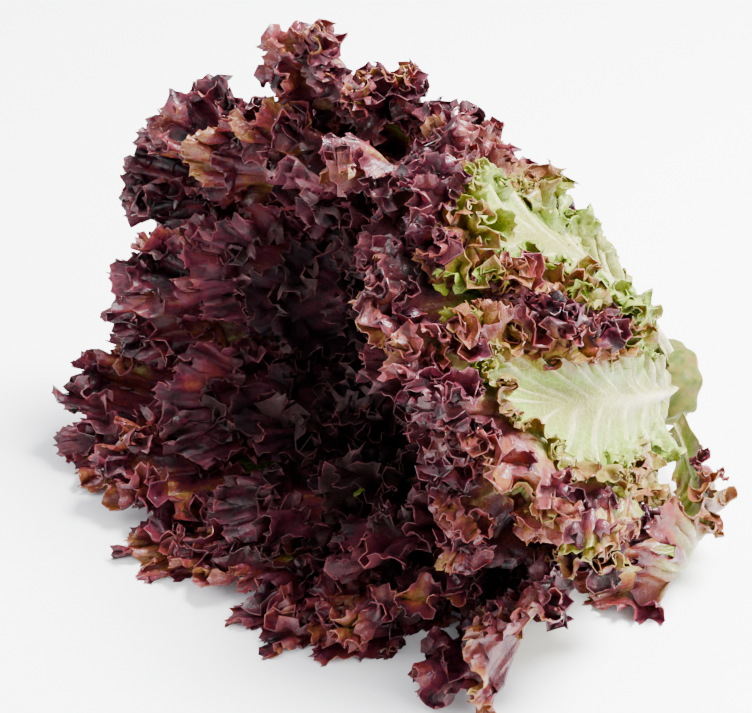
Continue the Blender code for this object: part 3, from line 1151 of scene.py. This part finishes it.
def make_mesh(name: str, points: Array, triangles: Array) -> bpy.types.Mesh:
    """A smooth shaded mesh.

    Args:
        name: Its name.
        points: Its points in metres.
        triangles: Its triangles.

    Returns:
        The mesh.
    """
    mesh = bpy.data.meshes.new(name)
    mesh.vertices.add(len(points))
    mesh.vertices.foreach_set("co", points.astype(np.float32).ravel())
    mesh.loops.add(triangles.size)
    mesh.loops.foreach_set("vertex_index", triangles.astype(np.int32).ravel())
    mesh.polygons.add(len(triangles))
    mesh.polygons.foreach_set("loop_start", np.arange(0, triangles.size, 3, dtype=np.int32))
    mesh.update(calc_edges=True)
    mesh.shade_smooth()
    return mesh


def mark_sharp(mesh: bpy.types.Mesh, rim: Array, side: Array) -> None:
    """Keeps the rim's edges crisp, so that the thin margin isn't shaded as if it were round.

    Args:
        mesh: The leaf's mesh.
        rim: Whether each point is on the rim.
        side: Which side of the leaf each point is on.
    """
    ends = np.empty(len(mesh.edges) * 2, dtype=np.int32)
    mesh.edges.foreach_get("vertices", ends)
    here, there = ends.reshape(-1, 2).T
    sharp = rim[here] & rim[there] & (side[here] == side[there])
    layer = mesh.attributes.new("sharp_edge", "BOOLEAN", "EDGE")
    layer.data.foreach_set("value", sharp)


def add_values(mesh: bpy.types.Mesh, name: str, values: Array) -> None:
    """Stores one number for each point, which a finish reads by its name.

    Args:
        mesh: The mesh.
        name: The values' name.
        values: One number for each point.
    """
    layer = mesh.attributes.new(name, "FLOAT", "POINT")
    layer.data.foreach_set("value", values.astype(np.float32))


def place_piece(
    mesh: bpy.types.Mesh, finish: bpy.types.Material, node: str
) -> bpy.types.Object:
    """Puts a mesh in the scene in the place of one of the frame's solids.

    Args:
        mesh: The piece's mesh.
        finish: Its material.
        node: The solid that it stands for.

    Returns:
        The piece.
    """
    piece = bpy.data.objects.new(mesh.name, mesh)
    mesh.materials.append(finish)
    bpy.context.scene.collection.objects.link(piece)
    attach(piece, "root")
    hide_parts(node)
    log.info("%s: %d triangles, replaces %s", piece.name, len(mesh.polygons), node)
    return piece


class NodeTree:
    """A short way to write a node tree: makes nodes and links their sockets."""

    def __init__(self, tree: bpy.types.NodeTree) -> None:
        """Keeps the tree that the nodes go in."""
        self.tree = tree

    def node(self, kind: str, inputs: dict | None = None, **settings: object) -> bpy.types.Node:
        """Makes a node.

        Args:
            kind: The node's type in Blender.
            inputs: Values or sockets for its inputs, by name or number.
            settings: Values for the node's own properties.

        Returns:
            The node.
        """
        made = self.tree.nodes.new(kind)
        for key, value in settings.items():
            setattr(made, key, value)
        self.feed(made, inputs or {})
        return made

    def feed(self, node: bpy.types.Node, inputs: dict) -> None:
        """Gives a node its inputs: links sockets, and sets values on the node's own sockets.

        Args:
            node: The node.
            inputs: Values or sockets for its inputs, by name or number.
        """
        for key, value in inputs.items():
            if isinstance(value, bpy.types.NodeSocket):
                self.tree.links.new(value, node.inputs[key])
            else:
                node.inputs[key].default_value = value

    def maths(self, operation: str, *values: object) -> bpy.types.NodeSocket:
        """The result of a Math node on numbers or sockets."""
        return self.node("ShaderNodeMath", dict(enumerate(values)), operation=operation).outputs[0]

    def rise(self, value: object, low: float, high: float, to: tuple = (0.0, 1.0)) -> object:
        """The result of a smooth Map Range node from low to high."""
        made = self.node(
            "ShaderNodeMapRange",
            {"Value": value, "From Min": low, "From Max": high, "To Min": to[0], "To Max": to[1]},
            interpolation_type="SMOOTHSTEP",
        )
        return made.outputs["Result"]

    def mix(self, share: object, first: object, second: object, blend: str = "MIX") -> object:
        """The result of a colour Mix node."""
        inputs = {0: share, 6: first, 7: second}
        return self.node("ShaderNodeMix", inputs, data_type="RGBA", blend_type=blend).outputs[2]

    def ramp(self, value: object, stops: tuple[tuple[float, tuple], ...]) -> object:
        """The result of a Color Ramp node.

        Args:
            value: The socket that it reads.
            stops: Pairs of position and colour.

        Returns:
            The colour socket.
        """
        made = self.node("ShaderNodeValToRGB", {"Fac": value})
        band = made.color_ramp
        while len(band.elements) < len(stops):
            band.elements.new(1.0)
        for element, (position, colour) in zip(band.elements, stops):
            element.position = position
            element.color = (*colour, 1.0)
        return made.outputs["Color"]

    def place(self) -> object:
        """The object coordinates."""
        return self.node("ShaderNodeTexCoord").outputs["Object"]

    def noise(self, scale: float, detail: float) -> object:
        """The value of a Noise node at object coordinates."""
        inputs = {"Vector": self.place(), "Scale": scale, "Detail": detail}
        return self.node("ShaderNodeTexNoise", inputs).outputs["Fac"]

    def value(self, name: str) -> object:
        """The number that the mesh stores under a name."""
        return self.node("ShaderNodeAttribute", attribute_name=name).outputs["Fac"]


def new_group(
    name: str, inputs: tuple[tuple[str, str], ...], outputs: tuple[tuple[str, str], ...]
) -> tuple[bpy.types.NodeTree, NodeTree, bpy.types.Node, bpy.types.Node]:
    """An empty shader node group.

    Args:
        name: The group's name.
        inputs: Names and socket types of its inputs.
        outputs: Names and socket types of its outputs.

    Returns:
        The group, a writer for it, and its input and output nodes.
    """
    group = bpy.data.node_groups.new(name, "ShaderNodeTree")
    for title, kind in inputs:
        group.interface.new_socket(title, in_out="INPUT", socket_type=kind)
    for title, kind in outputs:
        group.interface.new_socket(title, in_out="OUTPUT", socket_type=kind)
    writer = NodeTree(group)
    return group, writer, writer.node("NodeGroupInput"), writer.node("NodeGroupOutput")


def new_material(name: str) -> tuple[bpy.types.Material, NodeTree, bpy.types.Node]:
    """An empty material, with a writer for its nodes and its shader."""
    material = bpy.data.materials.new(name)
    material.use_nodes = True
    return material, NodeTree(material.node_tree), material.node_tree.nodes["Principled BSDF"]


FLOAT, COLOUR = "NodeSocketFloat", "NodeSocketColor"
PIGMENT = (
    (0.0, (0.17, 0.175, 0.028)),
    (0.16, (0.16, 0.25, 0.018)),
    (0.36, (0.14, 0.14, 0.01)),
    (0.54, (0.14, 0.052, 0.011)),
    (0.7, (0.105, 0.013, 0.012)),
    (0.84, (0.062, 0.0068, 0.018)),
    # The near-black last stop is reached in full only by the inner leaves, as painted shade of the
    # hollow.
    (1.0, (0.006, 0.0009, 0.0026)),
)
CREAM = (0.46, 0.42, 0.21, 1.0)
DUST = (0.2, 0.1, 0.09, 1.0)
# Colours of the painted highlight along the rim, on green and on red leaves; below, the size of its
# patches.
HIGHLIGHT_ON_GREEN, HIGHLIGHT_ON_RED = (0.4, 0.36, 0.12, 1.0), (0.26, 0.06, 0.065, 1.0)
MOTTLE_SCALES, RIM_HIGHLIGHT_SCALE = (90.0, 600.0), 130.0
NET_SCALE, NET_WIDTH, BLISTER_SCALE = 420.0, 0.12, 260.0


def pigment_group() -> bpy.types.NodeTree:
    """The leaves' colour: from cream ribs over green to plum and a near-black painted shade, with
    veins and a pale painted highlight on the rim.

    Returns:
        A group with the inputs Red, Vein, Rim, Rib, Back and Mottle, and the output Color.
    """
    names = ("Red", "Vein", "Rim", "Rib", "Back", "Mottle")
    group, tree, given, result = new_group(
        "leaf_pigment", tuple((name, FLOAT) for name in names), (("Color", COLOUR),)
    )
    take = given.outputs
    broad = tree.maths("SUBTRACT", tree.noise(MOTTLE_SCALES[0], 3.0), 0.5)
    fine = tree.maths("SUBTRACT", tree.noise(MOTTLE_SCALES[1], 2.0), 0.5)
    patch = tree.maths("MULTIPLY_ADD", fine, 0.5, broad)
    patch = tree.maths("MULTIPLY", patch, take["Mottle"])
    veined = tree.maths("MULTIPLY_ADD", take["Vein"], -0.1, take["Red"])
    red = tree.maths("ADD", veined, tree.maths("MULTIPLY", patch, tree.rise(take["Red"], 0.0, 0.3)))
    colour = tree.ramp(red, PIGMENT)
    pale = tree.maths("MULTIPLY", take["Vein"], tree.rise(red, 0.75, 0.1, (0.0, 0.9)))
    colour = tree.mix(pale, colour, CREAM)
    colour = tree.mix(tree.rise(take["Rib"], 0.15, 0.7), colour, CREAM)
    dusty = tree.mix(0.5, colour, DUST)
    colour = tree.mix(tree.maths("MULTIPLY", take["Back"], 0.14), colour, dusty)
    # A painted highlight along the margin, in patches, weaker on the deepest red.
    highlight_patches = tree.rise(tree.noise(RIM_HIGHLIGHT_SCALE, 2.0), 0.4, 0.65)
    highlight_patches = tree.maths("MULTIPLY", highlight_patches, tree.rise(red, 1.0, 0.8, (0.4, 1.0)))
    edge = tree.maths("MULTIPLY", tree.rise(take["Rim"], 0.8, 0.1, (0.0, 0.4)), highlight_patches)
    rim_highlight = tree.mix(tree.rise(red, 0.3, 0.8), HIGHLIGHT_ON_GREEN, HIGHLIGHT_ON_RED)
    colour = tree.mix(edge, colour, rim_highlight)
    tree.feed(result, {"Color": colour})
    return group


def blister_group() -> bpy.types.NodeTree:
    """The blade's fine relief: a net of small veins with soft blisters between them.

    Returns:
        A group with the input Vein and the outputs Height and Net.
    """
    group, tree, given, result = new_group(
        "leaf_blisters", (("Vein", FLOAT),), (("Height", FLOAT), ("Net", FLOAT))
    )
    cells = tree.node(
        "ShaderNodeTexVoronoi", {"Vector": tree.place(), "Scale": NET_SCALE},
        feature="DISTANCE_TO_EDGE",
    ).outputs["Distance"]
    net = tree.rise(cells, NET_WIDTH, 0.0)
    height = tree.maths("MULTIPLY_ADD", net, -0.35, tree.noise(BLISTER_SCALE, 2.0))
    height = tree.maths("MULTIPLY_ADD", given.outputs["Vein"], -0.5, height)
    tree.feed(result, {"Height": height, "Net": net})
    return group


@dataclass(frozen=True)
class LeafFinish:
    """A leaf's finish.

    Mottle is how blotchy its red is, gloss the range of its roughness, relief how strong its
    blisters are, and glow how much light it lets in.
    """

    name: str
    mottle: float
    gloss: Pair = (0.26, 0.46)
    relief: float = 0.35
    shine: float = 0.32
    glow: float = 0.08
    net_tint: Quad = (1.35, 1.5, 1.3, 1.0)
    blister_depth: float = 0.0006
    glow_reach: float = 0.0015
    glow_radius: Triple = (1.0, 0.35, 0.2)

    def make(self, pigment: bpy.types.NodeTree, blisters: bpy.types.NodeTree) -> bpy.types.Material:
        """Builds the material.

        Args:
            pigment: The shared colour group.
            blisters: The shared relief group.

        Returns:
            The material.
        """
        material, tree, shader = new_material(self.name)
        given = {name: tree.value(name.lower()) for name in ("Red", "Vein", "Rim", "Rib", "Back")}
        colour = tree.node("ShaderNodeGroup", node_tree=pigment)
        tree.feed(colour, given | {"Mottle": self.mottle})
        relief = tree.node("ShaderNodeGroup", {"Vein": given["Vein"]}, node_tree=blisters)
        bump = tree.node(
            "ShaderNodeBump",
            {
                "Height": relief.outputs["Height"],
                "Strength": self.relief,
                "Distance": self.blister_depth,
            },
        )
        lit = tree.mix(1.0, colour.outputs["Color"], self.net_tint, "MULTIPLY")
        shaded = tree.mix(relief.outputs["Net"], colour.outputs["Color"], lit)
        rough = tree.rise(tree.noise(140.0, 2.0), 0.3, 0.7, self.gloss)
        tree.feed(shader, {
            "Base Color": shaded,
            "Roughness": rough,
            "Normal": bump.outputs["Normal"],
            "Specular IOR Level": self.shine,
            "Subsurface Weight": self.glow,
            "Subsurface Radius": self.glow_radius,
            "Subsurface Scale": self.glow_reach,
        })
        return material


@dataclass(frozen=True)
class ButtFinish:
    """The butt's finish: green skin, and a creamy cut face with a ring of vessels, gone brown."""

    name: str = "butt_cream"
    rust: Quad = (0.3, 0.16, 0.07, 1.0)
    bruise: Quad = (0.34, 0.2, 0.1, 1.0)
    rays: float = 34.0
    gloss: Pair = (0.5, 0.75)
    shine: float = 0.1
    skin: tuple[tuple[float, Triple], ...] = (
        (0.35, (0.045, 0.065, 0.008)),
        (0.52, (0.09, 0.095, 0.014)),
        (0.68, (0.12, 0.08, 0.02)),
    )
    face: tuple[tuple[float, Triple], ...] = (
        (0.0, (0.66, 0.6, 0.4)),
        (0.5, (0.72, 0.66, 0.42)),
        (0.66, (0.42, 0.28, 0.12)),
        (0.76, (0.62, 0.5, 0.28)),
        (1.0, (0.3, 0.17, 0.08)),
    )

    def make(self) -> bpy.types.Material:
        """Builds the material."""
        material, tree, shader = new_material(self.name)
        centre, cut, spoke = tree.value("centre"), tree.value("cut"), tree.value("spoke")
        skin = tree.ramp(tree.noise(220.0, 4.0), self.skin)
        face = tree.ramp(centre, self.face)
        rays = tree.maths("SINE", tree.maths("MULTIPLY", spoke, self.rays * TURN))
        rusty = tree.maths("MULTIPLY", tree.rise(rays, 0.2, 1.0), tree.rise(centre, 0.3, 0.8))
        face = tree.mix(tree.maths("MULTIPLY", rusty, 0.4), face, self.rust)
        bruised = tree.rise(tree.noise(500.0, 3.0), 0.5, 0.75, (0.0, 0.4))
        face = tree.mix(bruised, face, self.bruise)
        colour = tree.mix(cut, skin, face)
        height = tree.maths("ADD", tree.noise(400.0, 4.0), tree.maths("MULTIPLY", rays, 0.15))
        bump = tree.node(
            "ShaderNodeBump", {"Height": height, "Strength": 0.5, "Distance": 0.0005}
        )
        tree.feed(shader, {
            "Base Color": colour,
            "Roughness": tree.rise(tree.noise(300.0, 2.0), 0.3, 0.7, self.gloss),
            "Normal": bump.outputs["Normal"],
            "Specular IOR Level": self.shine,
        })
        return material


@dataclass(frozen=True)
class Studio:
    """The pale floor, the soft lights and the camera at the photograph's viewing angle.

    Lengths are metres, angles degrees. Each light is its place, its width, its power and its
    colour.
    """

    floor_size: float = 6.0
    floor_colour: Triple = (0.965, 0.97, 0.99)
    floor_shade: float = 0.985
    floor_rough: float = 0.75
    sky: Triple = (0.93, 0.96, 1.0)
    sky_strength: float = 1.45
    lights: tuple[tuple, ...] = (
        ("key", (0.6, 0.2, 1.25), 0.7, 165.0, (0.98, 0.98, 1.0)),
        ("fill", (-0.9, -0.5, 1.2), 1.0, 12.0, (0.95, 0.97, 1.0)),
        ("front", (0.8, -0.9, 0.8), 0.8, 19.0, (1.0, 1.0, 1.0)),
    )
    target: Triple = (-0.0014, 0.0385, 0.0561)
    elevation: float = 29.05
    distance: float = 0.95
    sensor: float = 36.0
    lens: float = 123.7

    def build(self) -> None:
        """Makes the floor, the lights and the camera."""
        self.floor()
        self.light()
        self.camera()

    def floor(self) -> None:
        """The plain floor, which isn't part of the lettuce."""
        half = self.floor_size / 2
        corners = np.array(((-half, -half, 0), (half, -half, 0), (half, half, 0), (-half, half, 0)))
        mesh = make_mesh("floor", corners, np.array(((0, 1, 2), (0, 2, 3))))
        material, tree, shader = new_material("floor_matt")
        shade = tuple(part * self.floor_shade for part in self.floor_colour)
        soft = tree.ramp(tree.noise(3.0, 2.0), ((0.35, shade), (0.65, self.floor_colour)))
        tree.feed(shader, {"Base Color": soft, "Roughness": self.floor_rough})
        mesh.materials.append(material)
        plane = bpy.data.objects.new("floor", mesh)
        bpy.context.scene.collection.objects.link(plane)

    def light(self) -> None:
        """The bright room and the large soft lights."""
        world = bpy.data.worlds.new("room")
        world.use_nodes = True
        sky = world.node_tree.nodes["Background"]
        sky.inputs["Color"].default_value = (*self.sky, 1.0)
        sky.inputs["Strength"].default_value = self.sky_strength
        bpy.context.scene.world = world
        for name, place, width, power, colour in self.lights:
            data = bpy.data.lights.new(name, "AREA")
            data.shape = "DISK"
            data.size = width
            data.energy = power
            data.color = colour
            lamp = bpy.data.objects.new(name, data)
            lamp.location = place
            lamp.rotation_mode = "QUATERNION"
            lamp.rotation_quaternion = (-Vector(place)).to_track_quat("-Z", "Y")
            bpy.context.scene.collection.objects.link(lamp)

    def camera(self) -> None:
        """The camera, at the photograph's angle and framing."""
        rise = math.radians(self.elevation)
        back = Vector((0.0, -math.cos(rise), math.sin(rise)))
        data = bpy.data.cameras.new("camera")
        data.sensor_width = self.sensor
        data.lens = self.lens
        eye = bpy.data.objects.new("camera", data)
        eye.location = Vector(self.target) + back * self.distance
        eye.rotation_mode = "QUATERNION"
        eye.rotation_quaternion = (-back).to_track_quat("-Z", "Y")
        bpy.context.scene.collection.objects.link(eye)
        bpy.context.scene.camera = eye


def corners(bounds: tuple[Vector, Vector]) -> list[list[float]]:
    """A box's lowest and highest corner as plain lists."""
    return [list(corner) for corner in bounds]


def main() -> None:
    """Builds the studio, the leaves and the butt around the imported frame."""
    logging.basicConfig(level=logging.INFO, format="%(name)s %(message)s")
    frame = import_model()
    slots = {part["node"]: part["material_slot"] for part in frame["record"]["subparts"]}
    Studio().build()
    pigment, blisters = pigment_group(), blister_group()
    finishes = {
        finish.name: finish.make(pigment, blisters)
        for finish in (
            LeafFinish("leaf_burgundy", 0.8),
            # The third ring's finish: deep plum, partly painted shade of the hollow, with less
            # shine.
            LeafFinish("leaf_plum", 0.5, (0.4, 0.6), shine=0.22),
            # The inner leaves' finish: near-black colour as painted shade of the hollow, with
            # little shine.
            LeafFinish("leaf_dark", 0.15, (0.5, 0.7), shine=0.12),
            LeafFinish("leaf_rusty", 0.85),
            LeafFinish("leaf_bronze", 0.5),
            LeafFinish("leaf_olive", 0.6),
            LeafFinish("leaf_green", 0.4),
        )
    }
    total = 0
    for seed, plan in enumerate(LEAVES):
        slot = slots[plan.name]
        finish = finishes["leaf_" + plan.colouring.name.lower()]
        piece = Leaf(plan, seed).build(finish, slot)
        total += len(piece.data.polygons)
    Butt().build(ButtFinish().make(), slots["stem"])
    log.info("leaves have %d triangles in all", total)


if __name__ == "__main__":
    main()
